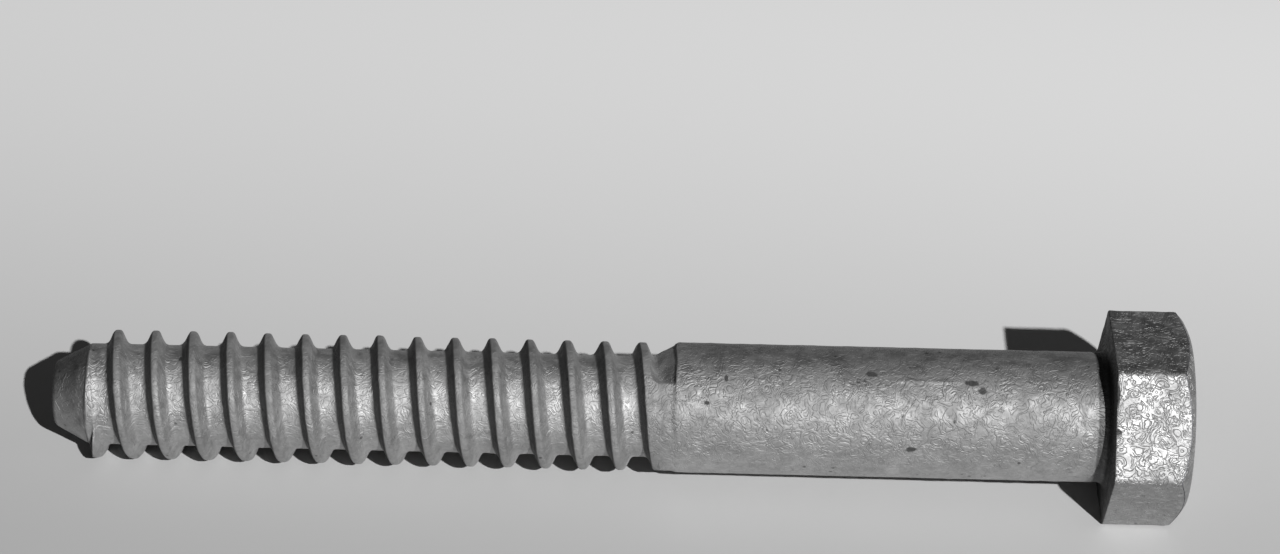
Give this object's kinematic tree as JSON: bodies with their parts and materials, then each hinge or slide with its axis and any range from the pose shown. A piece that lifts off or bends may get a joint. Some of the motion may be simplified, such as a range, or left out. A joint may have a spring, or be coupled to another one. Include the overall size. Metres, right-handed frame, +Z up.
{
  "type": "hex lag screw",
  "caption": "Hot-dip galvanised hex-head lag screw with a plain shank, a coarse right-hand wood thread and a blunt cone point.",
  "frame": {"origin": "centre of the bearing face under the head, on the screw's axis", "axes": "+X along the screw's axis from the point to the head, +Z up through one flat of the hexagon, +Y level and square to both"},
  "size_m": [0.1704, 0.0324, 0.0284],
  "materials": {
    "steel": "dark mill-scaled forged carbon steel, hidden under the zinc",
    "zinc": "hot-dip galvanised zinc, satin grey with small lumps, ripples and dull spots"
  },
  "bodies": {
    "root": {"steel_screw": "steel", "zinc_coating": "zinc"}
  },
  "joints": []
}
